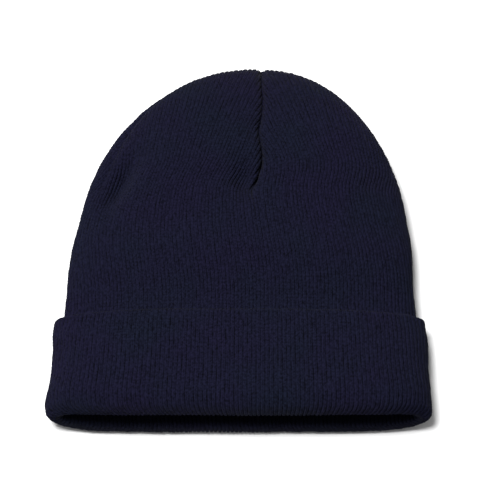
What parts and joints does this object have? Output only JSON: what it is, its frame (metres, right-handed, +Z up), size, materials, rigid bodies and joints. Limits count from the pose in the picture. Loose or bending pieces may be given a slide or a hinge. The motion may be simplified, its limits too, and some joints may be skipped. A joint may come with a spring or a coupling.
{
  "type": "knit beanie",
  "caption": "Cuffed rib-knit beanie lying flat: doubled knit body, turned-up cuff, darted round crown and an open head cavity.",
  "frame": {"origin": "on the table under the middle of the hat as it lies flat", "axes": "+Z up from the table; +Y from the open mouth to the tip of the crown; +X across the hat, to the right when it is seen from above with the mouth nearest"},
  "size_m": [0.213, 0.226, 0.034],
  "materials": {
    "outer_knit": "matte dark navy one-by-one rib knit",
    "lining_knit": "matte dark navy one-by-one rib knit, inner ply",
    "cuff_knit": "matte dark navy one-by-one rib knit, turned-up ply",
    "seam_thread": "dark navy linking yarn",
    "label_satin": "off-white woven satin, no print",
    "label_thread": "dark navy sewing thread"
  },
  "bodies": {
    "hat": {"outer_shell": "outer_knit", "outer_seam_front": "seam_thread", "outer_seam_back": "seam_thread", "outer_seam_left": "seam_thread", "outer_seam_right": "seam_thread", "lining": "lining_knit", "lining_seam_front": "seam_thread", "lining_seam_back": "seam_thread", "lining_seam_left": "seam_thread", "lining_seam_right": "seam_thread", "crown_tack": "seam_thread"},
    "cuff": {"cuff_face": "cuff_knit", "cuff_backing": "lining_knit"},
    "label": {"care_label": "label_satin", "label_stitches": "label_thread"}
  },
  "joints": [
    {"name": "cuff_turn_down", "type": "slide", "parent": "hat", "child": "cuff", "axis": [0, -1, 0], "range_m": [0, 0.05]},
    {"name": "label_flap", "type": "hinge", "parent": "hat", "child": "label", "pos_m": [0, -0.053, 0.0075], "axis": [-1, 0, 0], "range_deg": [0, 30]}
  ]
}
